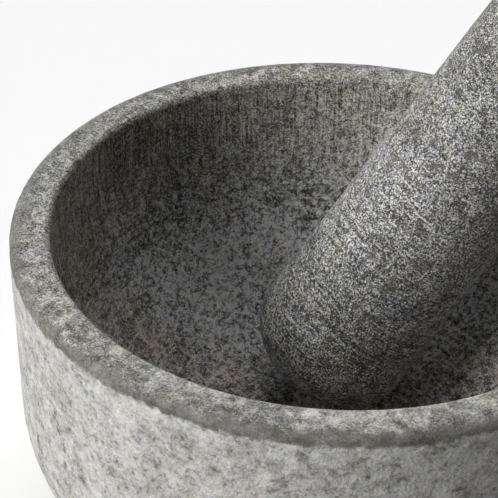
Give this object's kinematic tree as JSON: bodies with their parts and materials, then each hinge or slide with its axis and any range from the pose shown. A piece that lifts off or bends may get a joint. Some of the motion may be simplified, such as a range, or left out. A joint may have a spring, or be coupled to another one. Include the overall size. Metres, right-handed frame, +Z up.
{
  "type": "mortar and pestle",
  "caption": "Round turned granite mortar with a flat rim and rounded foot, on an anti-slip pad, with a blunt, slightly tapering pestle leaning in the cup.",
  "frame": {"origin": "centre of the pad's underside, on the table, on the mortar's turning axis", "axes": "+Z up along the mortar's turning axis, +X towards the side that the pestle leans to, +Y away from the front"},
  "size_m": [0.1516, 0.14, 0.1543],
  "materials": {
    "granite_bowl": "rough",
    "granite_pestle": "honed",
    "black_foam": "matte"
  },
  "bodies": {
    "mortar": {"mortar_bowl": "granite_bowl", "base_pad": "black_foam"},
    "pestle": {"pestle": "granite_pestle"}
  },
  "joints": [
    {"name": "pestle_lift", "type": "slide", "parent": "mortar", "child": "pestle", "axis": [0, 0, 1], "range_m": [0, 0.12]}
  ]
}
